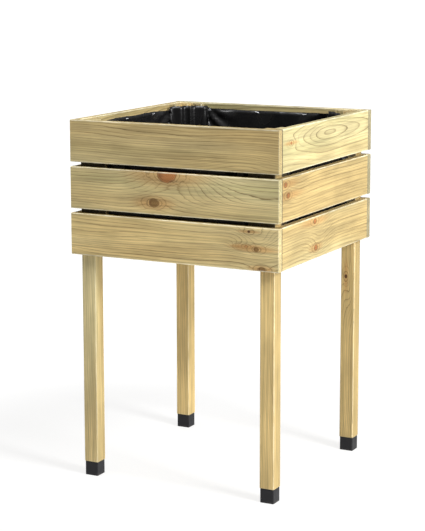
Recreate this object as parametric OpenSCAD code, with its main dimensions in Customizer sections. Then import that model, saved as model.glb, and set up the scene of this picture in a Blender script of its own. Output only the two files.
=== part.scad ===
// Raised planter on legs: a square box of horizontal boards on four square legs.
// Origin on the floor under the middle of the box, +Z up, front wall towards -Y.

/* [Box] */
// Outside width and depth of the square box
box_side = 500; // [460:10:540]
// Height of the rim above the floor
rim_z = 800; // [650:10:900]

/* [Boards] */
// Width of a wall board, measured up the wall
board_w = 92; // [86:1:95]
// Thickness of a wall board
board_t = 16; // [14:1:20]
// Open gap between two boards of one wall
board_gap = 10; // [8:1:14]
// Radius of the planed long edges of boards, battens and slats
edge_r = 2; // [1:0.5:3]
// Open joint between a side board's end and the board that covers it
corner_joint = 1.6; // [0.4:0.2:2.4]

/* [Legs] */
// Side of a square leg
leg_side = 34; // [32:1:38]
// Radius of the planed long edges of a leg
leg_edge_r = 2.5; // [1:0.5:4]
// Depth of the tops of legs and battens below the rim
post_drop = 2; // [0:1:10]

/* [Feet] */
// Side of a moulded foot, a little less than the leg
foot_side = 32; // [30:1:32]
// Height of a foot
foot_h = 32; // [30:1:40]
// Wall thickness of the hollow foot
foot_wall = 2.5; // [2:0.5:3]
// Thickness of the sole
foot_sole = 4; // [3:0.5:5]

/* [Battens] */
// Width of a batten against the wall
batten_w = 28; // [26:1:32]
// Thickness of a batten
batten_t = 16; // [14:1:18]

/* [Floor] */
// Width of a floor slat
slat_w = 78; // [70:1:80]
// Thickness of a floor slat
slat_t = 16; // [12:1:18]

/* [Liner] */
// Thickness of the liner foil as modelled
liner_t = 1; // [0.5:0.5:1.5]
// Depth of the liner's top edge below the rim
liner_drop = 13; // [10:1:20]

/* [Fasteners] */
// Shank diameter of the wood screws
screw_d = 4; // [3.5:0.5:4.5]
// Head diameter of the wood screws
head_d = 8; // [7:0.5:8.5]
// Shank diameter of the foot screws
foot_screw_d = 5; // [4:0.5:6]
// Crown width of a liner staple
staple_w = 10; // [8:1:12]

/* [Hidden] */
$fn = 32;

// Wall numbers: each wall is the front wall turned by this many right angles.
front = 0;
right = 1;
back = 2;
left = 3;

half = box_side / 2;
inner = half - board_t;               // inner face of a wall
leg_in = inner - leg_side;            // inner face of a leg
leg_mid = inner - leg_side / 2;       // middle of a leg
batten_in = leg_in - batten_w;        // edge of a batten nearest the wall's middle
batten_mid = leg_in - batten_w / 2;   // middle of a batten
batten_face = inner - batten_t;       // inner face of a batten
row_pitch = board_w + board_gap;
box_z = rim_z - 3 * board_w - 2 * board_gap;
post_top = rim_z - post_drop;

fit_gap = 1;                          // room left around loose-fitting wood
bearer_z = box_z + fit_gap * 2;
bearer_face = leg_in - batten_t;      // inner face of a floor bearer
floor_half = batten_face - fit_gap;   // half the width of the slatted floor
slat_z = bearer_z + batten_w;
slat_pitch = (2 * floor_half - slat_w) / 4;
slat_top = slat_z + slat_t;

liner_gap = 0.5;                      // room between the foil and the wood
liner_top = rim_z - liner_drop;

head_h = 2.6;                         // depth of a countersunk head
tip_h = 5;                            // length of a screw's point
recess_r = 2;                         // reach of the cross recess
recess_w = 1;                         // width of the cross recess
recess_h = 1.8;                       // depth of the cross recess
batten_screw_l = 26;                  // batten into board
leg_screw_l = 45;                     // leg into board
bearer_screw_l = 40;                  // bearer into leg
slat_screw_l = 35;                    // slat into bearer
leg_screw_x = leg_in + 8;             // clear of the batten beside the leg
batten_screw_dx = 6;                  // sideways stagger of a pair of screws
batten_screw_dz = 25;                 // upward stagger of a pair of screws
bearer_screw_dz = 7;
slat_screw_dx = 20;
slat_screw_y = (leg_in + bearer_face) / 2;

boss_r = 7.5;                         // screw boss inside a foot
rib_t = 2;                            // ribs inside a foot
seat_z = 20;                          // height at which the foot screw's head seats
foot_head_r = 4.5;
foot_head_h = 3.5;
foot_head_room = 0.75;
foot_screw_l = 52;
foot_r = 2.5;                         // rounding of a foot's upright edges

staple_at = [-91, 32, 155];           // places of the staples along a wall
staple_tilt = [6, -9, 4];             // hand-driven staples lie a little crooked
staple_wire = 1.2;
staple_flat = 0.7;
staple_leg_l = 8;
staple_z = liner_top - 4;

// Height of the lower edge of a row of boards, with row 0 at the bottom.
function row_z(row) = box_z + row * row_pitch;

// Half the length of a wall's boards: front and back cover the ends of the side walls.
function wall_half(wall) = wall % 2 == 0 ? half : inner - corner_joint;

// Leg screws of neighbouring walls pass each other at different heights.
function leg_screw_z(wall, row) = row_z(row) + (wall % 2 == 0 ? 62 : 78);

function turned(p, a) = [p[0] * cos(a) - p[1] * sin(a), p[0] * sin(a) + p[1] * cos(a)];

// Plan of the space inside the walls, legs and battens, drawn in by a gap.
function inside_corner(g) = [
  [inner - g, batten_in - g], [batten_face - g, batten_in - g], [batten_face - g, leg_in - g],
  [leg_in - g, leg_in - g],
  [leg_in - g, batten_face - g], [batten_in - g, batten_face - g], [batten_in - g, inner - g]
];
function inside_plan(g) = [for (q = [0:3]) for (p = inside_corner(g)) turned(p, 90 * q)];

// ---- Plain shapes ----

module rounded_rect(w, h, r) {
  translate([r, 0]) square([w - 2 * r, h]);
  translate([0, r]) square([w, h - 2 * r]);
  for (x = [r, w - r], y = [r, h - r]) translate([x, y]) circle(r);
}

// A bar along X from -l to l, with its section from 0 to t in Y and 0 to w in Z.
module bar(l, t, w, r = edge_r) {
  translate([-l, 0, 0]) rotate([90, 0, 90]) linear_extrude(2 * l) rounded_rect(t, w, r);
}

module post(w, d, h, r) {
  linear_extrude(h) rounded_rect(w, d, r);
}

// A countersunk wood screw that points down, with the top of its head at z = 0.
module wood_screw(l, drive) {
  difference() {
    rotate_extrude() polygon([
      [0, 0], [head_d / 2, 0], [screw_d / 2, -head_h],
      [screw_d / 2, tip_h - l], [0, -l]
    ]);
    if (drive) cross_recess();
  }
}

module cross_recess() {
  for (a = [0, 90]) rotate(a)
    translate([-recess_r, -recess_w / 2, -recess_h]) cube([2 * recess_r, recess_w, recess_h + 1]);
}

// ---- Fasteners, placed; drive adds the recess that a hole does not need ----

module batten_screws_on(wall, side, drive = false) {
  rotate(90 * wall) for (row = [0:2], k = [-1, 1])
    translate([side * batten_mid + k * batten_screw_dx, -batten_face,
               row_z(row) + board_w / 2 + k * batten_screw_dz])
      rotate([-90, 0, 0]) wood_screw(batten_screw_l, drive);
}

module leg_screws_on(wall, side, drive = false) {
  rotate(90 * wall) for (row = [0:2])
    translate([side * leg_screw_x, -leg_in, leg_screw_z(wall, row)])
      rotate([-90, 0, 0]) wood_screw(leg_screw_l, drive);
}

module bearer_screws_on(wall, side, drive = false) {
  rotate(90 * wall) for (k = [-1, 1])
    translate([side * leg_screw_x, -bearer_face, bearer_z + batten_w / 2 + k * bearer_screw_dz])
      rotate([-90, 0, 0]) wood_screw(bearer_screw_l, drive);
}

module slat_screws_on(i, drive = false) {
  for (k = [-1, 1], y = [-slat_screw_y, slat_screw_y])
    translate([i * slat_pitch + k * slat_screw_dx, y, slat_top]) wood_screw(slat_screw_l, drive);
}

module foot_screw(drive = false) {
  translate([0, 0, seat_z]) {
    difference() {
      translate([0, 0, -foot_head_h]) cylinder(r = foot_head_r, h = foot_head_h);
      if (drive) translate([0, 0, -foot_head_h]) mirror([0, 0, 1]) cross_recess();
    }
    rotate_extrude() polygon([
      [0, 0], [foot_screw_d / 2, 0], [foot_screw_d / 2, foot_screw_l - tip_h], [0, foot_screw_l]
    ]);
  }
}

module at_leg(corner) {
  rotate(90 * corner) translate([leg_mid, -leg_mid, 0]) children();
}

// One staple on a wall: the crown lies on the foil and two points go into the wood.
module staple_on(wall, i) {
  crown_y = inner - liner_gap - liner_t;
  rotate(90 * wall) translate([staple_at[i], -crown_y, staple_z]) rotate([0, staple_tilt[i], 0]) {
    translate([-staple_w / 2, 0, -staple_wire / 2]) cube([staple_w, staple_flat, staple_wire]);
    for (x = [-staple_w / 2, staple_w / 2 - staple_flat])
      translate([x, -staple_leg_l, -staple_wire / 2])
        cube([staple_flat, staple_leg_l + staple_flat, staple_wire]);
  }
}

module staples_on(wall) {
  for (i = [0:2]) staple_on(wall, i);
}

// ---- Wooden parts ----

module board(wall, row) {
  color("burlywood") difference() {
    rotate(90 * wall) translate([0, -half, row_z(row)]) bar(wall_half(wall), board_t, board_w);
    for (side = [-1, 1]) {
      batten_screws_on(wall, side);
      leg_screws_on(wall, side);
    }
    if (row == 2) staples_on(wall);
  }
}

// A leg stands in the corner between a wall and the next one.
module leg(corner) {
  color("khaki") difference() {
    at_leg(corner) translate([-leg_side / 2, -leg_side / 2, foot_h])
      post(leg_side, leg_side, post_top - foot_h, leg_edge_r);
    leg_screws_on(corner, 1);
    leg_screws_on((corner + 1) % 4, -1);
    for (wall = [front, back], side = [-1, 1]) bearer_screws_on(wall, side);
    at_leg(corner) foot_screw();
  }
}

module batten(wall, side) {
  color("wheat") difference() {
    rotate(90 * wall) translate([side * batten_mid - batten_w / 2, -inner, bearer_z])
      post(batten_w, batten_t, post_top - bearer_z, edge_r);
    batten_screws_on(wall, side);
  }
}

module floor_bearer(wall) {
  color("wheat") difference() {
    rotate(90 * wall) translate([0, -leg_in, bearer_z]) bar(floor_half, batten_t, batten_w);
    for (side = [-1, 1]) bearer_screws_on(wall, side);
    for (i = [-2:2]) slat_screws_on(i);
  }
}

// The outer slats stop at the legs, and the others reach the front and back walls.
module floor_slat(i) {
  slat_half = (abs(i) == 2 ? leg_in : inner) - fit_gap;
  color("burlywood") difference() {
    translate([i * slat_pitch - slat_w / 2, 0, slat_z]) rotate([0, 0, 90]) translate([0, -slat_w, 0])
      bar(slat_half, slat_w, slat_t);
    slat_screws_on(i);
  }
}

// ---- Feet, liner and hardware ----

module foot(corner) {
  cavity = foot_side - 2 * foot_wall;
  color("dimgray") at_leg(corner) difference() {
    translate([-foot_side / 2, -foot_side / 2, 0]) post(foot_side, foot_side, foot_h, foot_r);
    difference() {
      translate([-cavity / 2, -cavity / 2, foot_sole]) cube([cavity, cavity, foot_h]);
      cylinder(r = boss_r, h = 3 * foot_h);
      for (a = [0, 90]) rotate(a) translate([-cavity / 2 - 1, -rib_t / 2, 0])
        cube([cavity + 2, rib_t, 3 * foot_h]);
    }
    translate([0, 0, -1]) cylinder(r = foot_head_r + foot_head_room, h = seat_z + 1);
    cylinder(r = foot_screw_d / 2 + 0.25, h = foot_h + 1);
  }
}

module liner() {
  color("black") difference() {
    translate([0, 0, slat_top]) linear_extrude(liner_top - slat_top)
      polygon(inside_plan(liner_gap));
    translate([0, 0, slat_top + liner_t]) linear_extrude(liner_top - slat_top)
      polygon(inside_plan(liner_gap + liner_t));
    for (wall = [front:left]) staples_on(wall);
  }
}

module liner_staples() {
  color("silver") for (wall = [front:left]) staples_on(wall);
}

module batten_screws() {
  color("silver") for (wall = [front:left], side = [-1, 1]) batten_screws_on(wall, side, true);
}

module leg_screws() {
  color("silver") for (wall = [front:left], side = [-1, 1]) leg_screws_on(wall, side, true);
}

module bearer_screws() {
  color("silver") for (wall = [front, back], side = [-1, 1]) bearer_screws_on(wall, side, true);
}

module slat_screws() {
  color("silver") for (i = [-2:2]) slat_screws_on(i, true);
}

module foot_screws() {
  color("silver") for (corner = [0:3]) at_leg(corner) foot_screw(true);
}

// ---- Named parts ----

module front_board_bottom() { board(front, 0); }
module front_board_middle() { board(front, 1); }
module front_board_top() { board(front, 2); }
module right_board_bottom() { board(right, 0); }
module right_board_middle() { board(right, 1); }
module right_board_top() { board(right, 2); }
module back_board_bottom() { board(back, 0); }
module back_board_middle() { board(back, 1); }
module back_board_top() { board(back, 2); }
module left_board_bottom() { board(left, 0); }
module left_board_middle() { board(left, 1); }
module left_board_top() { board(left, 2); }
module leg_front_right() { leg(0); }
module leg_back_right() { leg(1); }
module leg_back_left() { leg(2); }
module leg_front_left() { leg(3); }
module foot_front_right() { foot(0); }
module foot_back_right() { foot(1); }
module foot_back_left() { foot(2); }
module foot_front_left() { foot(3); }
module front_batten_left() { batten(front, -1); }
module front_batten_right() { batten(front, 1); }
module right_batten_front() { batten(right, -1); }
module right_batten_back() { batten(right, 1); }
module back_batten_right() { batten(back, -1); }
module back_batten_left() { batten(back, 1); }
module left_batten_back() { batten(left, -1); }
module left_batten_front() { batten(left, 1); }
module floor_bearer_front() { floor_bearer(front); }
module floor_bearer_back() { floor_bearer(back); }
module floor_slat_left() { floor_slat(-2); }
module floor_slat_mid_left() { floor_slat(-1); }
module floor_slat_middle() { floor_slat(0); }
module floor_slat_mid_right() { floor_slat(1); }
module floor_slat_right() { floor_slat(2); }

front_board_bottom();
front_board_middle();
front_board_top();
right_board_bottom();
right_board_middle();
right_board_top();
back_board_bottom();
back_board_middle();
back_board_top();
left_board_bottom();
left_board_middle();
left_board_top();
leg_front_right();
leg_back_right();
leg_back_left();
leg_front_left();
foot_front_right();
foot_back_right();
foot_back_left();
foot_front_left();
front_batten_left();
front_batten_right();
right_batten_front();
right_batten_back();
back_batten_right();
back_batten_left();
left_batten_back();
left_batten_front();
floor_bearer_front();
floor_bearer_back();
floor_slat_left();
floor_slat_mid_left();
floor_slat_middle();
floor_slat_mid_right();
floor_slat_right();
liner();
liner_staples();
batten_screws();
leg_screws();
bearer_screws();
slat_screws();
foot_screws();
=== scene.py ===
# %% [markdown]
# # A raised planter on legs, finished in Blender
# The object is a square wooden box on four legs. Three boards make each wall, a leg stands
# in each corner, black plastic feet keep the wood off the ground, and a black foil lines the
# box so that wet soil never touches the pine. The shapes of the wood, feet and screws come
# ready made in the imported frame. This lesson gives each of them a finish, bends the staples
# from wire, lays the foil into the box, and sets up the camera and the light.
#
# We start by loading the frame.

# %% Load the frame
import math
import random

import bmesh
import bpy
from mathutils import Matrix, Quaternion, Vector, noise


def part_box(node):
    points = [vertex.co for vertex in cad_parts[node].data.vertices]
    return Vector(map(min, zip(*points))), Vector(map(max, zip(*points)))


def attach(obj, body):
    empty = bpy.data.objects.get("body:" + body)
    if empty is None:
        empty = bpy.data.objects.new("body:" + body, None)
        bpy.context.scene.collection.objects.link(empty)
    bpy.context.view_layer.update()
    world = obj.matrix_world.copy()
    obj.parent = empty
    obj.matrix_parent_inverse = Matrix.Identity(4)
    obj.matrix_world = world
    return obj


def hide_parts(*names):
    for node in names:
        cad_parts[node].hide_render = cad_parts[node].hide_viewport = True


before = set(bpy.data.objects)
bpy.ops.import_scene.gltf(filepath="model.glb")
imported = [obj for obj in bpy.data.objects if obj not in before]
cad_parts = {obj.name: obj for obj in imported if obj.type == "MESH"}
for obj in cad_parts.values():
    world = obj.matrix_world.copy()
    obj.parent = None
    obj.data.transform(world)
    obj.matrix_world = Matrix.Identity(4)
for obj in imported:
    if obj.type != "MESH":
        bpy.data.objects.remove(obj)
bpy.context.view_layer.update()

print("its pieces:", len(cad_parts))

# %% [markdown]
# ## The camera
# A studio camera with a long lens stands about four metres away, to the right of the front
# and a little above the rim. A long lens keeps the boards nearly parallel. We give the camera
# by the way it turns round the planter, how high it climbs and how far off it stands, which
# is how a photographer thinks, and let the script work out its place. The lamps will be
# placed in the same way.

# %% Stand the camera
SENSOR_WIDTH = 36
CLIP_END = 200


def towards(turn, climb):
    turn, climb = math.radians(turn), math.radians(climb)
    return Vector((
        math.sin(turn) * math.cos(climb),
        -math.cos(turn) * math.cos(climb),
        math.sin(climb),
    ))


def stand_camera(turn, climb, roll, away, aim, lens, shift):
    camera = bpy.data.objects.new("studio_camera", bpy.data.cameras.new("studio_camera"))
    bpy.context.scene.collection.objects.link(camera)
    back = towards(turn, climb)
    camera.location = Vector(aim) + away * back
    camera.rotation_mode = "QUATERNION"
    level = back.to_track_quat("Z", "Y")
    camera.rotation_quaternion = level @ Quaternion((0, 0, 1), math.radians(roll))
    camera.data.sensor_width = SENSOR_WIDTH
    camera.data.lens = lens
    camera.data.shift_x, camera.data.shift_y = shift
    camera.data.clip_end = CLIP_END
    bpy.context.scene.camera = camera
    return camera


studio_camera = stand_camera(
    turn=27.18, climb=9.37, roll=-0.09, away=3.848, aim=(-0.0294, 0, 0.5459),
    lens=115.4, shift=(-0.0012, -0.0747),
)
print("the camera stands at", tuple(round(x, 3) for x in studio_camera.location))

# %% [markdown]
# ## Helpers: feed a socket and do sums
# Every finish below is a small net of shader nodes. Wiring nodes by hand in a script gets
# long, so each helper lays one kind of node and returns the socket that comes out of it. A
# helper takes either a plain number or another node's socket.

# %% Sums
def feed(socket, value):
    if isinstance(value, bpy.types.NodeSocket):
        socket.id_data.links.new(value, socket)
    else:
        socket.default_value = value


def work_out(tree, how, *terms):
    node = tree.nodes.new("ShaderNodeMath")
    node.operation = how
    for socket, term in zip(node.inputs, terms):
        feed(socket, term)
    return node.outputs[0]


def work_out_vector(tree, how, *terms):
    node = tree.nodes.new("ShaderNodeVectorMath")
    node.operation = how
    for socket, term in zip(node.inputs, terms):
        feed(socket, term)
    return node.outputs["Value" if how == "LENGTH" else "Vector"]


def in_three(tree, vector):
    split = tree.nodes.new("ShaderNodeSeparateXYZ")
    feed(split.inputs[0], vector)
    return split.outputs


print("helpers for sums ready")

# %% [markdown]
# ## Helpers: patterns
# Nearly all the variety in wood, plastic and foil comes from one cloudy noise. Stretched
# along one axis it becomes fibres or streaks, and a map range turns it into any span of
# numbers, with soft ends.

# %% Patterns
def placed(tree, place, scale=(1, 1, 1), shift=(0, 0, 0)):
    node = tree.nodes.new("ShaderNodeMapping")
    feed(node.inputs["Vector"], place)
    feed(node.inputs["Scale"], scale)
    feed(node.inputs["Location"], shift)
    return node.outputs["Vector"]


def mottle(tree, place, size=1.0, detail=2.0, rough=0.5, colour=False):
    node = tree.nodes.new("ShaderNodeTexNoise")
    feed(node.inputs["Vector"], place)
    feed(node.inputs["Scale"], size)
    feed(node.inputs["Detail"], detail)
    feed(node.inputs["Roughness"], rough)
    return node.outputs["Color" if colour else "Fac"]


def stretched(tree, place, scale, shift=(0, 0, 0), **look):
    return mottle(tree, placed(tree, place, scale, shift), **look)


def graded(tree, amount, low, high, to_low=0.0, to_high=1.0):
    node = tree.nodes.new("ShaderNodeMapRange")
    node.interpolation_type = "SMOOTHSTEP"
    for name, value in (("Value", amount), ("From Min", low), ("From Max", high),
                        ("To Min", to_low), ("To Max", to_high)):
        feed(node.inputs[name], value)
    return node.outputs["Result"]


print("helpers for patterns ready")

# %% [markdown]
# ## Helpers: colours and finishes
# A ramp gives tones along a scale, a mix lays one colour over another, and a bump tilts the
# light as if the surface were dented. A new finish starts from Blender's usual surface
# shader and from the position of each point in metres, so that patterns have a real size.

# %% Colours and finishes
def steps(tree, amount, *stops):
    node = tree.nodes.new("ShaderNodeValToRGB")
    ramp = node.color_ramp
    while len(ramp.elements) < len(stops):
        ramp.elements.new(0.5)
    for element, (place, tone) in zip(ramp.elements, stops):
        element.position = place
        element.color = (tone, tone, tone, 1)
    feed(node.inputs["Fac"], amount)
    return node.outputs["Color"]


def mixed(tree, amount, first, second, how="MIX"):
    node = tree.nodes.new("ShaderNodeMix")
    node.data_type = "RGBA"
    node.blend_type = how
    for socket, value in ((node.inputs[0], amount), (node.inputs[6], first),
                          (node.inputs[7], second)):
        feed(socket, (*value, 1) if isinstance(value, tuple) else value)
    return node.outputs[2]


def dented(tree, height, strength, depth):
    node = tree.nodes.new("ShaderNodeBump")
    feed(node.inputs["Height"], height)
    feed(node.inputs["Strength"], strength)
    feed(node.inputs["Distance"], depth)
    return node.outputs["Normal"]


def new_finish(name, **surface):
    finish = bpy.data.materials.new(name)
    finish.use_nodes = True
    tree = finish.node_tree
    shader = tree.nodes["Principled BSDF"]
    for socket, value in surface.items():
        feed(shader.inputs[socket.replace("_", " ")], value)
    place = tree.nodes.new("ShaderNodeTexCoord").outputs["Object"]
    return finish, tree, shader, place


def paint(name, finish):
    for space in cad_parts[name].material_slots:
        space.material = finish


print("helpers for finishes ready")

# %% [markdown]
# ## Pine, cut from a log
# A picture of wood wrapped round a board looks wrong at its ends and edges. Real grain is
# solid: a tree grows a ring a year round its heart, and a saw cuts a flat board out of those
# rings. So this finish works the same way. It measures how far each point is from the heart
# of an imagined log that runs along the board, and divides that by the width of a ring. The
# faces then show long arches, the edges show lines and the ends show arcs, and all of them
# meet at the corners. A heart that wanders a little along the log gives the arches, ripples
# and small shakes keep the lines from running true, and a bulge lifts the rings in one spot.

# %% Rings of the log
WANDER = 0.07
RIPPLE = 1.5
SHAKE = 0.35


def wandering_heart(tree, stick, heart, seed):
    wander = tree.nodes.new("ShaderNodeSeparateColor")
    feed(wander.inputs["Color"], stretched(
        tree, stick, (1.7, 0, 0), (seed, seed / 3, 0), detail=1.5, colour=True))
    line = tree.nodes.new("ShaderNodeCombineXYZ")
    for number, (name, middle) in enumerate(zip(("Red", "Green"), heart), 1):
        feed(line.inputs[number], work_out(
            tree, "MULTIPLY_ADD", wander.outputs[name], WANDER, middle - WANDER / 2))
    return line.outputs[0]


def swollen(tree, stick, years, along, across, length, width, lift):
    spot = placed(tree, stick, (1 / length, 1 / width, 0), (-along / length, -across / width, 0))
    square = work_out(tree, "POWER", work_out_vector(tree, "LENGTH", spot), 1.8)
    swell = work_out(tree, "POWER", math.e, work_out(tree, "MULTIPLY", square, -1.0))
    return work_out(tree, "MULTIPLY_ADD", swell, lift, years)


def log_rings(tree, stick, heart, ring, seed, bulges, waves):
    out = work_out_vector(tree, "SUBTRACT", stick, wandering_heart(tree, stick, heart, seed))
    out = work_out_vector(tree, "MULTIPLY", out, (0, 1, 1))
    years = work_out(tree, "DIVIDE", work_out_vector(tree, "LENGTH", out), ring)
    ripple = stretched(tree, stick, (2.6, 30, 30), (seed, 0, 0))
    years = work_out(tree, "MULTIPLY_ADD", ripple, RIPPLE * waves, years)
    shake = stretched(tree, stick, (26, 260, 260), (0, seed, 0))
    years = work_out(tree, "MULTIPLY_ADD", shake, SHAKE * waves, years)
    for bulge in bulges:
        years = swollen(tree, stick, years, *bulge)
    return years


print("the heart of a log strays by up to", WANDER / 2, "m")

# %% [markdown]
# Each ring has a pale, soft part that grew in spring and a thin, darker line that grew in
# late summer. The fraction of a year at each point goes through a ramp that is pale, darkens
# slowly and ends sharply. No two summers are alike, so a random number for each whole year
# makes some lines faint and some strong.

# %% Summer lines
FAINTEST = 0.35


def summer_lines(tree, years):
    season = work_out(tree, "FRACT", years)
    line = steps(tree, season, (0.0, 0.02), (0.55, 0.07), (0.8, 0.3), (0.9, 1.0),
                 (0.95, 0.95), (1.0, 0.02))
    dice = tree.nodes.new("ShaderNodeTexWhiteNoise")
    dice.noise_dimensions = "1D"
    feed(dice.inputs["W"], work_out(tree, "FLOOR", years))
    weight = work_out(tree, "MULTIPLY_ADD", dice.outputs["Value"], 1 - FAINTEST, FAINTEST)
    return work_out(tree, "MULTIPLY", line, weight)


print("the faintest summer line has", FAINTEST, "of the full strength")

# %% [markdown]
# The colour is the pale yellow-green of pressure-treated pine, with broad greener and warmer
# streaks along the log. The summer lines go over them, brown and not quite solid.

# %% Bare wood
SPRING_WOOD = (0.57, 0.485, 0.258)
SUMMER_WOOD = (0.14, 0.095, 0.034)
GREEN_STREAK = (0.42, 0.38, 0.175)
WARM_STREAK = (0.51, 0.375, 0.160)


def bare_wood(tree, stick, seed, warmth, lines, line_depth):
    green = stretched(tree, stick, (1.6, 26, 26), (0, seed, 0), detail=3.0)
    warm = stretched(tree, stick, (1.1, 9, 9), (0, 0, seed))
    colour = mixed(tree, graded(tree, green, 0.35, 0.75, 0, 0.8), SPRING_WOOD, GREEN_STREAK)
    colour = mixed(tree, graded(tree, warm, 0.6 - warmth, 0.95 - warmth), colour, WARM_STREAK)
    return mixed(tree, work_out(tree, "MULTIPLY", lines, line_depth), colour, SUMMER_WOOD)


print("colours of bare wood ready")

# %% [markdown]
# A knot is the root of a branch that grew out through the log. It is darker and redder than
# the wood round it, has small rings of its own, and the grain flows round it. We take the
# distance to the knot's middle in the plane of the face, so that the knot passes through the
# board. The same distance, stretched more or less along the board, gives a stain, a swirl of
# grain, and the knot's body with its rings and its dark rim.

# %% Knots
RED_KNOT = (0.43, 0.175, 0.055)
BROWN_KNOT = (0.25, 0.14, 0.045)
DARK_KNOT = (0.11, 0.05, 0.018)
KNOT_STAIN = (0.43, 0.25, 0.09)
KNOT_RIM = (0.09, 0.04, 0.015)
SWIRL_RING = 0.0058
KNOT_RING = 0.0026
SMALL_KNOT = 0.006


def knot_spot(tree, stick, along, across, stretch):
    return placed(tree, stick, (stretch, 1, 0), (-along * stretch, -across, 0))


def waves_of(tree, distance, pitch):
    return work_out(tree, "SINE", work_out(tree, "MULTIPLY", distance, 2 * math.pi / pitch))


def round_the_knot(tree, colour, stick, wobble, along, across, size):
    run = 0.3 if size > SMALL_KNOT else 0.13
    stain = work_out_vector(tree, "LENGTH", knot_spot(tree, stick, along, across, run))
    stain = graded(tree, stain, size * 0.6, size * 2.2, 0.75, 0)
    colour = mixed(tree, stain, colour, KNOT_STAIN)
    collar = work_out_vector(tree, "LENGTH", knot_spot(tree, stick, along, across, 0.5))
    collar = work_out(tree, "MULTIPLY_ADD", wobble, size * 0.8, collar)
    swirl = graded(tree, waves_of(tree, collar, SWIRL_RING), 0.45, 1.0, 0, 0.6)
    near = graded(tree, collar, size * 1.3 + 0.002, size * 1.6 + 0.012, 1, 0)
    return mixed(tree, work_out(tree, "MULTIPLY", swirl, near), colour, SUMMER_WOOD)


def knot_body(tree, colour, stick, wobble, along, across, size, body):
    spot = knot_spot(tree, stick, along, across, 0.8)
    away = work_out_vector(tree, "LENGTH", spot)
    away = work_out(tree, "MULTIPLY_ADD", wobble, size * 0.5, away)
    rings = graded(tree, waves_of(tree, away, KNOT_RING), -1, 1)
    core = mixed(tree, rings, body, tuple(0.55 * x for x in body))
    lean = graded(tree, in_three(tree, spot)[0], -size * 0.8, -size * 0.2, 0.5, 0)
    core = mixed(tree, lean, core, DARK_KNOT)
    colour = mixed(tree, graded(tree, away, size * 1.05, size * 1.3, 1, 0), colour, core)
    rim = work_out(tree, "ABSOLUTE", work_out(tree, "SUBTRACT", away, size * 1.2))
    return mixed(tree, graded(tree, rim, 0.0, 0.0012, 0.6, 0), colour, KNOT_RIM)


def add_knots(tree, colour, stick, knots):
    for along, across, size, body in knots:
        wobble = stretched(tree, stick, (60, 60, 60))
        colour = round_the_knot(tree, colour, stick, wobble, along, across, size)
        colour = knot_body(tree, colour, stick, wobble, along, across, size, body)
    return colour


print("knots ready")

# %% [markdown]
# Planed edges are paler. This is partly wear from hands and straps, and partly a painted
# highlight where light catches the rounded arrises. The cut ends are darker, because end
# grain drinks in water and dirt. The three distances from a point to the faces of the board
# tell us where an edge is: a point on a corner of the wood is close to two faces at once.
# Some boards are also darker in a thin band at one end, where they butt against the next board.

# %% Pale edges, cut ends and dark joint ends
PALE_EDGE_WEAR_AND_HIGHLIGHT = (0.80, 0.75, 0.55)
END_GRAIN = (0.25, 0.225, 0.14)
DARK_JOINT_BAND = (0.05, 0.038, 0.02)


def board_edges(tree, stick, half):
    parts = in_three(tree, stick)
    along, across, through = (
        work_out(tree, "SUBTRACT", reach, work_out(tree, "ABSOLUTE", parts[number]))
        for number, reach in enumerate(half)
    )
    long_edge = work_out(tree, "MAXIMUM", across, through)
    end_edge = work_out(tree, "MAXIMUM", along, work_out(tree, "MINIMUM", across, through))
    pale_edge = work_out(tree, "MAXIMUM", graded(tree, long_edge, 0.0008, 0.0032, 1, 0),
                      graded(tree, end_edge, 0.0003, 0.0016, 0.5, 0))
    cut_end = graded(tree, along, 0.0002, 0.0008, 1, 0)
    return pale_edge, cut_end


def edges_and_ends(tree, colour, stick, half, edge_paleness, end_grain, dark_joint_band):
    pale_edge, cut_end = board_edges(tree, stick, half)
    patchy = graded(tree, stretched(tree, stick, (40, 90, 90)), 0.3, 0.7,
                    0.3 * edge_paleness, 0.85 * edge_paleness)
    # Pale edges: wear, with a painted highlight along the arrises laid into the same colour.
    colour = mixed(tree, work_out(tree, "MULTIPLY", pale_edge, patchy), colour, PALE_EDGE_WEAR_AND_HIGHLIGHT)
    colour = mixed(tree, work_out(tree, "MULTIPLY", cut_end, end_grain), colour, END_GRAIN)
    along = in_three(tree, stick)[0]
    # A thin darker band at one end of some boards, where they butt against the next board.
    joint_band = graded(tree, along, 0.0006 - half[0], 0.0026 - half[0], dark_joint_band, 0)
    return mixed(tree, joint_band, colour, DARK_JOINT_BAND)


print("edges and ends ready")

# %% [markdown]
# The wood that shows through the gaps is painted nearly black. This is painted shade, standing
# in for the little light that reaches a leg or batten through a narrow gap.
# The painted shade lies on the outermost few millimetres of a leg or batten, and only as high
# as the gaps reach.

# %% Painted shade behind the gaps
GAP_SHADE = (0.012, 0.008, 0.004)
box_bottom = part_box("front_board_bottom")[0].z
highest_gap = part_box("front_board_top")[0].z
wall_inside = -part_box("front_board_top")[1].y


# Painted shade: nearly black on the outer few millimetres of legs and battens, between the box's
# floor and the top gap.
def painted_gap_shade(tree, place, axis):
    parts = in_three(tree, place)
    reach = work_out(tree, "ABSOLUTE", parts[axis])
    stain = graded(tree, reach, wall_inside - 0.003, wall_inside - 0.0012, 0, 0.93)
    for level, start, end in ((box_bottom, 0, 1), (highest_gap, 1, 0)):
        band = graded(tree, parts["Z"], level + 0.003, level + 0.006, start, end)
        stain = work_out(tree, "MULTIPLY", stain, band)
    return stain


print("painted gap shade from", round(box_bottom, 3), "m to", round(highest_gap, 3), "m")
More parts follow.
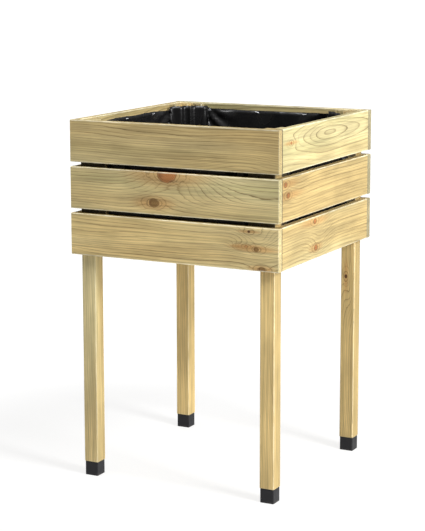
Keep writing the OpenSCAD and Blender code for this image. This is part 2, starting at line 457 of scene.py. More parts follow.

# %% [markdown]
# Fibres, broader threads and soft blotches make the wood lighter and darker in small steps.
# They only multiply the colour, so every piece keeps its own hue. The front face of a leg
# can also be made brighter or darker than its sides. This is painted light and shade on that
# face, standing in for the light the lamps give it.

# %% Light and dark in the wood
def wood_tone(tree, stick, seed, fibres, half, shade, front_face_light):
    fibre_tone = graded(tree, fibres, 0.25, 0.75, 0.9 * shade, 1.08 * shade)
    threads = stretched(tree, stick, (3, 230, 230), (seed, 0, 0), detail=3.0, rough=0.6)
    blotches = stretched(tree, stick, (9, 26, 26), (seed, 0, seed), detail=3.0)
    thread_tone = work_out(tree, "MULTIPLY", graded(tree, threads, 0.3, 0.7, 0.78, 1.15),
                           graded(tree, blotches, 0.3, 0.7, 0.88, 1.12))
    # Painted light and shade on the front face: brighter where the factor is above one, darker
    # where it is below.
    face = work_out(tree, "MULTIPLY_ADD", in_three(tree, stick)[2], -1.0, -half[2])
    front_light_tone = graded(tree, face, -0.0025, -0.0005, 1, front_face_light)
    return work_out(tree, "MULTIPLY", work_out(tree, "MULTIPLY", fibre_tone, thread_tone),
                    front_light_tone)


print("tones ready")

# %% [markdown]
# Now the whole finish. Its log is laid along the piece first: the letters of `lay` name the
# axes that run along, across and through it. Bare wood comes first, then knots, pale edges
# (wear and painted highlight), tones with the painted light on a leg's front face, and the
# painted shade behind the gaps. The fibres and summer lines are also raised a little in the
# bump, so light catches them.

# %% A finish for any piece of pine
def laid_stick(tree, place, middle, order):
    centred = in_three(tree, placed(tree, place, shift=-middle))
    join = tree.nodes.new("ShaderNodeCombineXYZ")
    for number, axis in enumerate(order):
        feed(join.inputs[number], centred[axis])
    return join.outputs[0]


def pine(piece, lay, heart, ring, shade, warmth, knots=(), bulges=(), waves=1.0,
         line_depth=0.86, edge_paleness=1.0, end_grain=0.5, dark_joint_band=0.0, front_face_light=1.0,
         gap_shade_axis=None):
    low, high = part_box(piece)
    order = ["XYZ".index(letter) for letter in lay]
    half = [(high[axis] - low[axis]) / 2 for axis in order]
    seed = random.Random(piece).uniform(1, 60)
    finish, tree, shader, place = new_finish("pine_of_" + piece, Specular_IOR_Level=0.3)
    stick = laid_stick(tree, place, (low + high) / 2, order)

    grown = [(along, across, 4.0 * size + 0.012, 1.5 * size + 0.006, 2.2)
             for along, across, size, body in knots]
    years = log_rings(tree, stick, heart, ring, seed, grown + list(bulges), waves)
    lines = summer_lines(tree, years)
    fibres = stretched(tree, stick, (16, 620, 620), (seed, 0, 0), detail=3.0, rough=0.6)

    colour = bare_wood(tree, stick, seed, warmth, lines, line_depth)
    colour = add_knots(tree, colour, stick, knots)
    colour = edges_and_ends(tree, colour, stick, half, edge_paleness, end_grain, dark_joint_band)
    tone = wood_tone(tree, stick, seed, fibres, half, shade, front_face_light)
    colour = mixed(tree, 1.0, colour, tone, "MULTIPLY")
    # Painted shade on the parts that show through the gaps.
    if gap_shade_axis:
        colour = mixed(tree, painted_gap_shade(tree, place, gap_shade_axis), colour, GAP_SHADE)
    feed(shader.inputs["Base Color"], colour)

    feed(shader.inputs["Roughness"], graded(tree, fibres, 0.2, 0.8, 0.56, 0.74))
    relief = work_out(tree, "MULTIPLY_ADD", lines, 0.35, work_out(tree, "MULTIPLY", fibres, 0.9))
    feed(shader.inputs["Normal"], dented(tree, relief, 0.35, 0.0007))
    paint(piece, finish)


print("pine ready")

# %% [markdown]
# ## The twelve boards
# No two boards come from the same place in a log. Each gets its own heart (how far the
# middle of the tree lies across and behind the board), ring width, shade and warmth, and the
# knots and arches that make it recognisable. A knot is given by its place along and across
# the board, its size and its colour; a bulge by its place, its length and width, and how
# many rings it lifts. Places are in metres from the middle of the board.

# %% Front wall
FRONT_BOARDS = {
    "front_board_top": dict(
        heart=(0.085, 0.032), ring=0.0048, shade=0.9, warmth=0.3,
        bulges=[(0.16, -0.02, 0.10, 0.03, 3.5), (-0.1, 0.01, 0.2, 0.02, -1.5)]),
    "front_board_middle": dict(
        heart=(0.080, 0.034), ring=0.0052, shade=1.04, warmth=0.24,
        knots=[(-0.011, 0.043, 0.019, RED_KNOT), (-0.043, -0.021, 0.0096, BROWN_KNOT)],
        bulges=[(0.01, 0.03, 0.085, 0.045, 7.0), (0.25, -0.006, 0.16, 0.016, -3.0)]),
    "front_board_bottom": dict(
        heart=(-0.080, 0.040), ring=0.0052, shade=1.2, warmth=0.26,
        knots=[(0.158, 0.003, 0.0014, RED_KNOT), (0.176, 0.004, 0.0034, RED_KNOT),
               (0.199, 0.0, 0.0046, BROWN_KNOT), (0.212, -0.042, 0.0062, BROWN_KNOT),
               (0.182, 0.036, 0.0022, DARK_KNOT)],
        bulges=[(0.21, 0.02, 0.04, 0.028, 5.0), (-0.25, 0.0, 0.2, 0.02, 3.5)]),
}
for board, cut in FRONT_BOARDS.items():
    pine(board, "XZY", end_grain=0.25, **cut)
print("front wall finished:", len(FRONT_BOARDS), "boards")

# %% [markdown]
# The boards of the right wall butt against the back of the front boards, and they are darker
# in a thin band at that end. The rings of the top board are lifted in one long bulge, so they
# close into ovals.

# %% Right wall
RIGHT_BOARDS = {
    "right_board_top": dict(
        heart=(0.016, -0.110), ring=0.0054, shade=0.97, warmth=0.14,
        knots=[(-0.189, 0.014, 0.0030, RED_KNOT)],
        bulges=[(0.02, 0.019, 0.21, 0.034, -5.6)], waves=0.4, dark_joint_band=0.8),
    "right_board_middle": dict(
        heart=(0.085, -0.036), ring=0.0052, shade=0.88, warmth=0.44,
        knots=[(-0.216, 0.032, 0.0055, RED_KNOT), (-0.203, 0.008, 0.0060, RED_KNOT)],
        dark_joint_band=0.6),
    "right_board_bottom": dict(
        heart=(-0.070, -0.038), ring=0.0052, shade=0.96, warmth=0.5,
        knots=[(-0.065, 0.036, 0.0060, RED_KNOT), (-0.060, -0.022, 0.0065, RED_KNOT)],
        bulges=[(-0.03, 0.007, 0.05, 0.045, 3.0)], dark_joint_band=0.6),
}
for board, cut in RIGHT_BOARDS.items():
    pine(board, "YZX", **cut)
print("right wall finished:", len(RIGHT_BOARDS), "boards")

# %% [markdown]
# The walls at the back and left get knots and arches too, because the planter is seen from
# all round.

# %% Back and left walls
BACK_BOARDS = {
    "back_board_top": dict(
        heart=(0.060, -0.045), ring=0.0064, shade=0.98, warmth=0.3,
        knots=[(0.12, -0.018, 0.006, BROWN_KNOT)]),
    "back_board_middle": dict(
        heart=(-0.006, -0.05), ring=0.0062, shade=1.0, warmth=0.26,
        bulges=[(-0.05, 0.0, 0.12, 0.024, 3.6)]),
    "back_board_bottom": dict(
        heart=(-0.07, -0.04), ring=0.0066, shade=0.97, warmth=0.34,
        knots=[(-0.15, 0.026, 0.0075, RED_KNOT), (-0.02, -0.03, 0.004, BROWN_KNOT)]),
}
LEFT_BOARDS = {
    "left_board_top": dict(
        heart=(0.02, 0.048), ring=0.0062, shade=1.0, warmth=0.3,
        knots=[(0.07, 0.012, 0.005, BROWN_KNOT)]),
    "left_board_middle": dict(
        heart=(-0.06, 0.04), ring=0.0065, shade=0.98, warmth=0.33,
        knots=[(-0.14, -0.022, 0.0068, RED_KNOT)], bulges=[(0.09, 0.0, 0.10, 0.022, 3.0)]),
    "left_board_bottom": dict(
        heart=(0.07, 0.045), ring=0.0063, shade=1.01, warmth=0.27,
        knots=[(0.16, 0.0, 0.0045, BROWN_KNOT)]),
}
for board, cut in BACK_BOARDS.items():
    pine(board, "XZY", end_grain=0.8, **cut)
for board, cut in LEFT_BOARDS.items():
    pine(board, "YZX", **cut)
print("back and left walls finished:", len(BACK_BOARDS) + len(LEFT_BOARDS), "boards")

# %% [markdown]
# ## Legs, battens and the floor
# Legs are sawn square from straight wood, so their heart lies well off to one side and the
# lines run straight up. They have narrow rings and only faint pale edges, which are wear and
# painted highlight, and painted light and shade on their front faces. Two of them are warmer in
# colour than the rest, and the one at the back right has a small dark knot with a swirl of grain
# below it.

# %% Legs
# Each leg's front-face factor paints light on its front face where it is above one, and shade
# where it is below.
LEGS = {
    "leg_front_left": dict(
        heart=(0.055, 0.040), ring=0.0036, shade=1.12, warmth=0.3,
        front_face_light=0.98, line_depth=0.55),
    "leg_front_right": dict(
        heart=(0.050, 0.052), ring=0.0038, shade=0.94, warmth=0.9,
        front_face_light=1.42, line_depth=0.45),
    "leg_back_left": dict(
        heart=(-0.045, 0.050), ring=0.0034, shade=1.26, warmth=0.9,
        front_face_light=1.02, line_depth=0.45),
    "leg_back_right": dict(
        heart=(0.048, -0.045), ring=0.0040, shade=0.98, warmth=0.5,
        front_face_light=1.22, line_depth=0.85,
        knots=[(0.001, -0.004, 0.0035, DARK_KNOT)], bulges=[(-0.035, 0.007, 0.05, 0.012, 3.5)]),
}
# Legs get painted shade where they show through the gaps, and fainter pale edges.
for leg, cut in LEGS.items():
    pine(leg, "ZXY", edge_paleness=0.4, end_grain=0.12, gap_shade_axis="Y", **cut)
print("legs finished:", len(LEGS))

# %% [markdown]
# The short battens that the boards are screwed to, the two bearers and the five floor slats
# are rougher stock. Each gets a heart and a shade from its own name, so that they differ and
# yet stay the same each time the script runs.

# %% Battens, bearers and slats
def rough_stock(piece, lay, gap_shade_axis=None):
    dice = random.Random("stock " + piece)
    heart = (dice.choice((-1, 1)) * dice.uniform(0.02, 0.05), dice.uniform(0.04, 0.07))
    pine(piece, lay, heart, dice.uniform(0.0052, 0.0066), dice.uniform(0.92, 1.03),
         dice.uniform(0.24, 0.4), end_grain=0.12, gap_shade_axis=gap_shade_axis)


# Battens get painted shade where they show through the gaps.
for piece in sorted(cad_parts):
    if "_batten_" in piece:
        across_front = piece.startswith(("front", "back"))
        rough_stock(piece, "ZXY" if across_front else "ZYX", "Y" if across_front else "X")
    elif piece.startswith("floor_bearer"):
        rough_stock(piece, "XZY")
    elif piece.startswith("floor_slat"):
        rough_stock(piece, "YXZ")
print("battens, bearers and slats finished")

# %% [markdown]
# ## Plastic feet
# The feet are moulded in black plastic. The mould is etched, so the surface has a very fine,
# even grain that softens its shine. The lowest few millimetres have been stood on and are
# dusty and scuffed.

# %% Foot plastic
FRESH_PLASTIC = (0.011, 0.011, 0.0125)
FADED_PLASTIC = (0.017, 0.017, 0.019)
GROUND_DUST = (0.11, 0.10, 0.085)


def foot_plastic():
    finish, tree, shader, place = new_finish("moulded_foot_plastic", Specular_IOR_Level=0.3)
    grain = mottle(tree, place, 1500)
    cloud = mottle(tree, place, 55, 3.0)
    dust = graded(tree, in_three(tree, place)["Z"], 0.0005, 0.006, 0.4, 0.02)
    dust = work_out(tree, "MULTIPLY", dust, graded(tree, cloud, 0.35, 0.7))
    colour = mixed(tree, cloud, FRESH_PLASTIC, FADED_PLASTIC)
    feed(shader.inputs["Base Color"], mixed(tree, dust, colour, GROUND_DUST))
    feed(shader.inputs["Roughness"], graded(tree, cloud, 0.3, 0.7, 0.36, 0.5))
    feed(shader.inputs["Normal"], dented(tree, grain, 0.18, 0.0003))
    return finish


black_plastic = foot_plastic()
for corner in ("front_right", "back_right", "back_left", "front_left"):
    paint("foot_" + corner, black_plastic)
print("feet finished")

# %% [markdown]
# ## Screws and staples
# The screws are plated with zinc, which gives steel a slightly blotchy silver skin. It is a
# metal, so its colour is the colour of its reflections. The staples have a near-white skin
# that is barely metal. This is partly the pale, dull skin of galvanised wire, and partly a
# painted glint that stands in for the bright reflections of the wire. Small changes in roughness
# are what tell the eye that both are real.

# %% Steel
def steel(name, dull, bright, low, high, metal):
    finish, tree, shader, place = new_finish(name, Metallic=metal)
    cloud = mottle(tree, place, 240, 3.0)
    drawn = stretched(tree, place, (300, 300, 3000))
    feed(shader.inputs["Base Color"], mixed(tree, cloud, dull, bright))
    feed(shader.inputs["Roughness"], graded(tree, cloud, 0.3, 0.7, low, high))
    feed(shader.inputs["Normal"], dented(tree, drawn, 0.12, 0.0001))
    return finish


zinc = steel("zinc_plated_steel", (0.50, 0.47, 0.40), (0.68, 0.66, 0.60), 0.28, 0.46, 1.0)
for group in ("batten_screws", "leg_screws", "bearer_screws", "slat_screws", "foot_screws"):
    paint(group, zinc)
# Staple wire: near-white and barely metal, its paleness partly a painted glint.
staple_steel = steel("staple_wire", (0.82, 0.83, 0.84), (0.94, 0.95, 0.96), 0.3, 0.45, 0.2)
print("screws finished")

# %% [markdown]
# ## Staples bent from wire
# A staple is one piece of wire: a leg, a bend, a crown, a bend and a leg. We make it the
# way the wire is bent. A small ring of points is pushed forward for a leg, spun a quarter
# turn for a bend, pushed along for the crown, and so on to the other tip.

# %% Bend a staple
WIRE_RADIUS = 0.0008
WIRE_SIDES = 10
BEND = 0.0011
BEND_STEPS = 4
CROWN = 0.010
STAPLE_LEG = 0.0035
QUARTER_TURN = math.radians(90)


def points_of(made):
    return [item for item in made if isinstance(item, bmesh.types.BMVert)]


def edges_of(made):
    return [item for item in made if isinstance(item, bmesh.types.BMEdge)]


def push_ring(wire, ring, way):
    made = bmesh.ops.extrude_edge_only(wire, edges=ring)["geom"]
    bmesh.ops.translate(wire, vec=way, verts=points_of(made))
    return edges_of(made)


def bend_ring(wire, ring, centre):
    return edges_of(bmesh.ops.spin(
        wire, geom=ring, cent=centre, axis=(0, 0, 1), angle=-QUARTER_TURN,
        steps=BEND_STEPS)["geom_last"])


def bent_staple():
    wire = bmesh.new()
    bmesh.ops.create_circle(wire, cap_ends=True, segments=WIRE_SIDES, radius=WIRE_RADIUS)
    bmesh.ops.rotate(wire, verts=wire.verts, cent=(0, 0, 0),
                     matrix=Matrix.Rotation(QUARTER_TURN, 3, "X"))
    bmesh.ops.translate(wire, verts=wire.verts, vec=(-CROWN / 2, -STAPLE_LEG, 0))
    ring = push_ring(wire, list(wire.edges), (0, STAPLE_LEG - BEND, 0))
    ring = bend_ring(wire, ring, (-CROWN / 2 + BEND, -BEND, 0))
    ring = push_ring(wire, ring, (CROWN - 2 * BEND, 0, 0))
    ring = bend_ring(wire, ring, (CROWN / 2 - BEND, -BEND, 0))
    ring = push_ring(wire, ring, (0, BEND - STAPLE_LEG, 0))
    bmesh.ops.edgeloop_fill(wire, edges=ring)
    bmesh.ops.remove_doubles(wire, verts=wire.verts, dist=0.00001)
    bmesh.ops.recalc_face_normals(wire, faces=wire.faces)
    for face in wire.faces:
        face.smooth = len(face.verts) == 4
    return wire


one_staple = bent_staple()
print("points in one staple:", len(one_staple.verts))

# %% [markdown]
# Three staples hold the foil on each wall, a little below the rim, and none of them sits
# quite level. The bent staple is copied into one mesh and turned to each place. The mesh
# becomes a piece of the frame: it rides on the planter's body, has a finish of its own, and
# stands for the plain staples it replaces.

# %% Set the staples round the rim
STAPLE_Z = (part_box("liner_staples")[0].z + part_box("liner_staples")[1].z) / 2
STAPLES = ((-0.091, 6), (0.032, -9), (0.155, 4))
inner_wall = -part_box("liner")[0].y
CROWN_OFF_WALL = 0.0016


def mesh_of(name, shape):
    mesh = bpy.data.meshes.new(name)
    shape.to_mesh(mesh)
    shape.free()
    return mesh


def new_piece(name, shape, stands_for):
    piece = bpy.data.objects.new(name, mesh_of(name, shape))
    bpy.context.scene.collection.objects.link(piece)
    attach(piece, "root")
    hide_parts(stands_for)
    return piece


def turn_points(shape, points, angle, axis):
    bmesh.ops.rotate(shape, verts=points, cent=(0, 0, 0),
                     matrix=Matrix.Rotation(angle, 3, axis))


pattern = mesh_of("one_staple", one_staple)
staple_row = bmesh.new()
for wall in range(4):
    for along, tilt in STAPLES:
        before = len(staple_row.verts)
        staple_row.from_mesh(pattern)
        staple_row.verts.ensure_lookup_table()
        fresh = staple_row.verts[before:]
        turn_points(staple_row, fresh, math.radians(tilt), "Y")
        bmesh.ops.translate(staple_row, verts=fresh,
                            vec=(along, CROWN_OFF_WALL - inner_wall, STAPLE_Z))
        turn_points(staple_row, fresh, QUARTER_TURN * wall, "Z")
wire_staples = new_piece("wire_staples", staple_row, "liner_staples")
wire_staples.data.materials.append(staple_steel)
print("staples set:", 4 * len(STAPLES), "at height", round(STAPLE_Z, 3))

# %% [markdown]
# ## The foil liner: its path round the box
# The liner is one square sheet of black foil, pushed down into the box. Its middle lies on
# the slats and its sides stand up against the boards. At a corner the sheet meets a stepped
# block, a leg with a batten on each side of it, and bridges the steps rather than filling
# them. We describe that path once for one wall and turn it three times. The path is rounded
# by taking the average of a few points on either side.

# %% The path of the foil
AT_LEG = 0.1972
AT_BATTEN = 0.2158
BATTEN_END = 0.1698
BACK_ON_WALL = 0.1645
OFF_BOARD = 0.0003
ROUNDING = 0.005
slat_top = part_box("floor_slat_middle")[1].z
wall_run = [(-AT_LEG, -AT_LEG), (-BATTEN_END, -AT_BATTEN),
            (-BACK_ON_WALL, OFF_BOARD - inner_wall), (BACK_ON_WALL, OFF_BOARD - inner_wall),
            (BATTEN_END, -AT_BATTEN)]
path_points = [
    Matrix.Rotation(QUARTER_TURN * wall, 2) @ Vector(point)
    for wall in range(4) for point in wall_run
]
path_starts = [0.0]
for here, after in zip(path_points, path_points[1:] + path_points[:1]):
    path_starts.append(path_starts[-1] + (after - here).length)
path_length = path_starts[-1]
print("once round the box the foil is", round(path_length, 3), "m long")


def on_path(distance):
    distance %= path_length
    for number, start in enumerate(path_starts[1:]):
        if distance <= start:
            here = path_points[number]
            after = path_points[(number + 1) % len(path_points)]
            share = (distance - path_starts[number]) / (start - path_starts[number])
            return here.lerp(after, share)


def rounded_path(distance):
    near = [on_path(distance + ROUNDING * share) for share in (-1, -0.5, 0, 0.5, 1)]
    direction = (near[-1] - near[0]).normalized()
    return sum(near, Vector((0, 0))) / len(near), Vector((-direction.y, direction.x))


# %% [markdown]
# ## The foil liner: pleats
# A flat sheet has too much foil at each corner, and it is folded into a pleat: the foil runs
# to the corner, turns back on itself, and turns again to go on round. The pleat is nothing
# at the floor and widest at the top, so its visible fold leans away from the corner. We
# start from a flat grid, with one column of points for each place along the foil. The
# columns of a wall stand closer together near its ends, where the foil bends most.

# %% Columns of the grid
WALL_LENGTH = path_length / 4
RUN_COLUMNS = 150
PLEAT_COLUMNS = 12
CROWDING = 0.045


def evenly(count):
    return [number / count for number in range(count)]


def closer_at_ends(count):
    return [share - CROWDING * math.sin(4 * math.pi * share) for share in evenly(count)]


foil_columns = []
for wall in range(4):
    foil_columns += [(wall, "run", share) for share in closer_at_ends(RUN_COLUMNS)]
    foil_columns += [(wall, "pleat", share) for share in evenly(PLEAT_COLUMNS)]
print("columns of foil:", len(foil_columns))

# %% [markdown]
# A column in a run hangs on the wall, and a column in a pleat hangs between the pleat's open
# fold and its hidden one. The part of a run that lies over the last pleat stands off the
# wall by two layers of foil, and eases back to the wall further on.

# %% Where each column hangs
PLEAT_WIDEST = 0.034
PAST_CORNER = 0.003
EASING_DOWN = 0.02


def eased(value, low, high):
    share = min(1.0, max(0.0, (value - low) / (high - low)))
    return share * share * (3 - 2 * share)


def pleat_width(wall, share):
    return PLEAT_WIDEST * (1 + 0.12 * math.sin(2.3 * wall + 1)) * share ** 1.25 + 0.0004


def hang_place(column, share):
    wall, part, along = column
    hidden_fold = (wall + 1) * WALL_LENGTH - PAST_CORNER
    open_fold = hidden_fold - pleat_width(wall, share)
    if part == "pleat":
        return hidden_fold + (open_fold - hidden_fold) * along, 0.7 + 0.9 * along
    last_hidden = wall * WALL_LENGTH - PAST_CORNER
    start = last_hidden - pleat_width((wall - 1) % 4, share)
    distance = start + (hidden_fold - start) * along
    return distance, 2.0 * (1 - eased(distance, last_hidden, last_hidden + EASING_DOWN))


print("the pleats are", [round(pleat_width(wall, 1), 3) for wall in range(4)], "m wide")

# %% [markdown]
# ## The foil liner: held by staples
# Foil never hangs flat, so each point will be pushed a little off the wall. Close to a
# staple every push fades out, because the staple pins the foil to the board. The top edge
# waves a little, and it stands higher where the foil is pulled over the corner blocks.

# %% Staples and the top edge
FOIL_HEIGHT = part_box("liner")[1].z - slat_top
STAPLE_HEIGHT = STAPLE_Z - slat_top
STAPLE_SPOTS = [wall * WALL_LENGTH + WALL_LENGTH / 2 + spot
                for wall in range(4) for spot, tilt in STAPLES]
PINNED_REACH = 0.016
TOP_WAVE = 0.0022
CORNER_LIFTS = (0.0, 0.005, 0.007, 0.008)


def pinned(distance, height):
    hold = 1.0
    for spot in STAPLE_SPOTS:
        gap = (distance - spot + path_length / 2) % path_length - path_length / 2
        reach = math.hypot(gap, 1.2 * (height - STAPLE_HEIGHT)) / PINNED_REACH
        hold = min(hold, 1 - 0.88 * math.exp(-reach * reach))
    return hold


def from_corner(distance):
    return abs((distance + WALL_LENGTH / 2) % WALL_LENGTH - WALL_LENGTH / 2)


def top_edge(distance):
    wave = TOP_WAVE * noise.noise(Vector((distance * 14, 3.1, 0.4)))
    lift = CORNER_LIFTS[round(distance / WALL_LENGTH) % 4]
    return FOIL_HEIGHT + wave + lift * (1 - eased(from_corner(distance), 0.036, 0.066))


print("the foil stands", round(FOIL_HEIGHT, 3), "m high, pinned", len(STAPLE_SPOTS), "times")

# %% [markdown]
# ## The foil liner: creases and gathers
# Four things push the foil away from the wall: it bulges between its staples, it has sharp
# creases where it was folded in its packet, it is gathered over the corner blocks, and folds
# fan out beside each block from the place where the foil was pulled tight.

# %% Creases, gathers and fans
BULGE = 0.0022
PACKET_CREASE = 0.0016
FINE_CREASE = 0.0012
GATHER = 0.0085
GATHER_PITCH = 0.0262
FAN = 0.0115
FAN_FOLDS = 16
LAYER = 0.0008
LEAST_GAP = 0.0004


def crease(x, y, z):
    return (1 - abs(noise.noise(Vector((x, y, z))))) ** 7


def gathered(distance, height):
    drift = 2.2 * noise.noise(Vector((distance * 40, height * 5, 2.0)))
    wave = 0.5 + 0.5 * math.sin(2 * math.pi * distance / GATHER_PITCH + drift)
    over_block = 1 - eased(from_corner(distance), 0.034, 0.06)
    return GATHER * wave * over_block * eased(height, 0.02, 0.2)


def fanned(distance, height):
    corner = from_corner(distance)
    slant = math.atan2(corner - 0.03, FOIL_HEIGHT + 0.012 - height)
    drift = 1.4 * noise.noise(Vector((distance * 8, 0, 4)))
    fold = (0.5 + 0.5 * math.sin(slant * FAN_FOLDS + drift)) ** 2
    beside_block = eased(corner, 0.034, 0.05) * (1 - eased(corner, 0.06, 0.15))
    return FAN * fold * beside_block * eased(height, 0.03, 0.15)


def off_the_wall(distance, height, layer):
    push = BULGE * (1 + noise.noise(Vector((distance * 9, height * 7, 5.0))))
    push += PACKET_CREASE * crease(distance * 11, height * 9 + distance * 4, 1.5)
    push += FINE_CREASE * crease(distance * 24 + height * 10, height * 16, 8.5)
    push += gathered(distance, height) + fanned(distance, height)
    return LEAST_GAP + pinned(distance, height) * (LAYER * layer + push)


print("a gather is up to", GATHER, "m deep and a fanned fold", FAN, "m")

# %% [markdown]
# ## The foil liner: made
# The wall of the liner is the grid, hung column by column, with its first and last column
# merged. Its foot curves round into the floor.

# %% Hang the wall of the liner
FOOT_ROUND = 0.012
ABOVE_SLATS = 0.0009
WALL_ROWS = 30


def hang(column, share):
    distance, layer = hang_place(column, share)
    height = share * top_edge(distance)
    spot, inward = rounded_path(distance)
    push = off_the_wall(distance, height, layer)
    if height < FOOT_ROUND:
        push += FOOT_ROUND - math.sqrt(FOOT_ROUND ** 2 - (FOOT_ROUND - height) ** 2)
    spot = spot + inward * push
    return Vector((spot.x, spot.y, slat_top + ABOVE_SLATS + height))


foil = bmesh.new()
bmesh.ops.create_grid(foil, x_segments=len(foil_columns), y_segments=WALL_ROWS, size=0.5)
for point in foil.verts:
    column = round((point.co.x + 0.5) * len(foil_columns)) % len(foil_columns)
    share = round((point.co.y + 0.5) * WALL_ROWS) / WALL_ROWS
    point.co = hang(foil_columns[column], share)
bmesh.ops.remove_doubles(foil, verts=foil.verts, dist=0.00002)
print("points in the hung foil:", len(foil.verts))

# %% [markdown]
# The floor of the liner is its lower edge, extruded again and again towards the middle and
# closed at a point. It lies on the slats, with a few creases that settle near the walls.

# %% Lay the floor of the liner
FLOOR_RINGS = 18
RING_STEP = 1.04 / (FLOOR_RINGS + 1)


def floor_height(x, y):
    lift = 0.0028 * crease(x * 7 + 3, y * 7 + x * 2, 0.7) + 0.0015 * crease(x * 17, y * 15, 4.4)
    settle = eased(0.2 - max(abs(x), abs(y)), 0, 0.03)
    return slat_top + ABOVE_SLATS + lift * settle


lower_edge = [edge for edge in foil.edges
              if edge.is_boundary and all(v.co.z < slat_top + 0.002 for v in edge.verts)]
outer = {v: v.co.copy() for edge in lower_edge for v in edge.verts}
for ring in range(1, FLOOR_RINGS + 1):
    made = bmesh.ops.extrude_edge_only(foil, edges=lower_edge)["geom"]
    points, lower_edge = points_of(made), edges_of(made)
    for point in points:
        neighbours = (edge.other_vert(point) for edge in point.link_edges)
        before = min((v for v in neighbours if v in outer and v not in points),
                     key=lambda v: (v.co - point.co).length)
        outer[point] = outer[before]
        place = outer[before] * (1 - ring * RING_STEP)
        point.co = Vector((place.x, place.y, floor_height(place.x, place.y)))
bmesh.ops.pointmerge(foil, verts=points, merge_co=Vector((0, 0, floor_height(0, 0))))
bmesh.ops.recalc_face_normals(foil, faces=foil.faces)
for face in foil.faces:
    face.smooth = True
print("points in the whole foil:", len(foil.verts))

# %% [markdown]
# The piece is handed to the frame: it rides on the root body, stands for the plain liner of
# the frame, and takes the liner's finish. A thin Solidify gives the foil its real thickness.
# The sheet is square, and each side of it is the floor of the box and two upstands.

# %% Hand over the liner
FOIL_GAUGE = 0.00022
foil_liner = new_piece("foil_liner", foil, "liner")
gauge = foil_liner.modifiers.new("foil_gauge", "SOLIDIFY")
gauge.thickness = FOIL_GAUGE
gauge.offset = 0

# %% [markdown]
# ## The foil liner: finish
# Black polythene is half glossy. Its colour hardly changes, so almost all that is seen is
# how it bends the light: broad soft highlights on the folds and a net of fine crinkles. The
# crinkles come from cell edges, which look like the sharp little ridges of crumpled foil.

# %% Foil finish
DEEP_BLACK = (0.006, 0.006, 0.0065)
WORN_BLACK = (0.012, 0.0118, 0.012)
CRINKLES = 46.0
CRUMPLE = (0.012, 0.012, 0.012)


def foil_finish():
    finish, tree, shader, place = new_finish("black_foil", Specular_IOR_Level=0.42)
    bent = work_out_vector(tree, "MULTIPLY", mottle(tree, place, 30, colour=True), CRUMPLE)
    cells = tree.nodes.new("ShaderNodeTexVoronoi")
    cells.feature = "DISTANCE_TO_EDGE"
    feed(cells.inputs["Vector"], work_out_vector(tree, "ADD", place, bent))
    feed(cells.inputs["Scale"], CRINKLES)
    ridge = graded(tree, cells.outputs["Distance"], 0.0, 0.14, 1, 0)
    cloud = mottle(tree, place, 16, 3.0)
    feed(shader.inputs["Base Color"], mixed(tree, cloud, DEEP_BLACK, WORN_BLACK))
    feed(shader.inputs["Roughness"], graded(tree, cloud, 0.3, 0.7, 0.20, 0.31))
    relief = work_out(tree, "MULTIPLY_ADD", mottle(tree, place, 420), 0.12, ridge)
    feed(shader.inputs["Normal"], dented(tree, relief, 0.11, 0.0008))
    return finish


foil_liner.data.materials.append(foil_finish())
print("liner finished")

# %% [markdown]
# ## The studio
# The planter stands on a plain white floor that meets a white wall far away, so that no
# horizon shows. The floor glows a little, less round the planter and more further out, which
# keeps the shadows on it pale and lets it fade to white. It is hidden from the light that
# bounces between surfaces, so it doesn't flood the planter.

# %% Floor and far wall
FLOOR_RADIUS = 60
FAR_WALL_HEIGHT = 45
GLOW_NEAR, GLOW_FAR = 0.79, 0.99
floor_shape = bmesh.new()
bmesh.ops.create_circle(floor_shape, cap_ends=True, segments=96, radius=FLOOR_RADIUS)
far_edge = [edge for edge in floor_shape.edges if edge.is_boundary]
wall_made = bmesh.ops.extrude_edge_only(floor_shape, edges=far_edge)["geom"]
bmesh.ops.translate(floor_shape, vec=(0, 0, FAR_WALL_HEIGHT), verts=points_of(wall_made))
studio_floor = bpy.data.objects.new("studio_floor", mesh_of("studio_floor", floor_shape))
bpy.context.scene.collection.objects.link(studio_floor)
studio_floor.visible_diffuse = False
studio_floor.visible_glossy = False

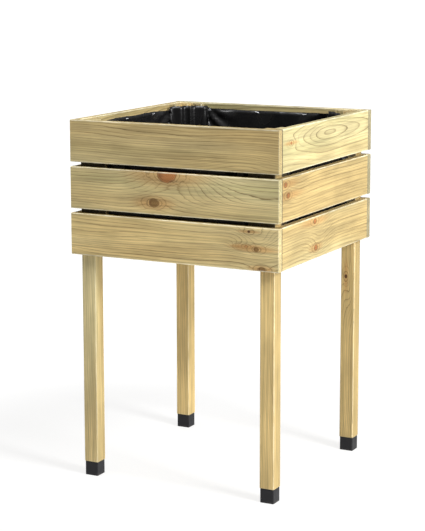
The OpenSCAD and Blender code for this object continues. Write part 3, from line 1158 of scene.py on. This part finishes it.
floor_paint, floor_tree, floor_shader, floor_place = new_finish(
    "white_floor", Roughness=0.8, Specular_IOR_Level=0.1, Emission_Color=(1.0, 1.0, 1.0, 1.0))
from_planter = work_out_vector(floor_tree, "LENGTH", floor_place)
feed(floor_shader.inputs["Emission Strength"],
     graded(floor_tree, from_planter, 0.55, 1.15, GLOW_NEAR, GLOW_FAR))
feed(floor_shader.inputs["Base Color"],
     mixed(floor_tree, mottle(floor_tree, floor_place, 3), (0.31, 0.31, 0.31),
           (0.34, 0.34, 0.34)))
studio_floor.data.materials.append(floor_paint)
print("the studio floor is ready")

# %% [markdown]
# A photographer's studio is dark at eye level, bright underfoot, where the floor throws
# light back, and pale overhead. The world is a ramp from bottom to top that does the same.
# Together with the painted shade on the wood behind the gaps, it keeps the gaps between the
# boards black.

# %% World
world = bpy.data.worlds.new("studio_world")
bpy.context.scene.world = world
world.use_nodes = True
sky = world.node_tree
sky_place = sky.nodes.new("ShaderNodeTexCoord").outputs["Generated"]
up = work_out(sky, "MULTIPLY_ADD", in_three(sky, sky_place)["Z"], 0.5, 0.5)
feed(sky.nodes["Background"].inputs["Color"], steps(
    sky, up, (0.0, 1.3), (0.33, 1.05), (0.45, 0.1), (0.55, 0.08), (0.7, 0.3), (1.0, 0.5)))
bpy.context.scene.view_settings.view_transform = "Standard"
print("the world is a ramp from underfoot to overhead")

# %% [markdown]
# Then come the lamps: a large soft box high on the right, a low one beside it that reaches
# under the box to the legs, and a fill above the front that brightens the top edges of the
# boards. Only the first one lights the floor, so there is one soft shadow from each leg and
# not three. The other two leave the floor out by light linking.

# %% Lamps
LAMPS_AIM = Vector((0, 0, 0.55))
floor_left_out = bpy.data.collections.new("floor_left_out")
floor_left_out.objects.link(studio_floor)
floor_left_out.collection_objects[0].light_linking.link_state = "EXCLUDE"


def soft_box(name, watts, width, turn, climb, away, on_floor=False):
    lamp = bpy.data.objects.new(name, bpy.data.lights.new(name, "AREA"))
    lamp.data.energy = watts
    lamp.data.size = width
    back = towards(turn, climb)
    lamp.location = LAMPS_AIM + away * back
    lamp.rotation_mode = "QUATERNION"
    lamp.rotation_quaternion = back.to_track_quat("Z", "Y")
    bpy.context.scene.collection.objects.link(lamp)
    if not on_floor:
        lamp.light_linking.receiver_collection = floor_left_out
    print(name, "at", tuple(round(x, 2) for x in lamp.location))


soft_box("key_lamp", 82, 0.8, turn=75, climb=30, away=3.2, on_floor=True)
soft_box("low_lamp", 76, 1.4, turn=84, climb=4, away=3.2)
soft_box("top_lamp", 70, 1.6, turn=-10, climb=65, away=3.4)
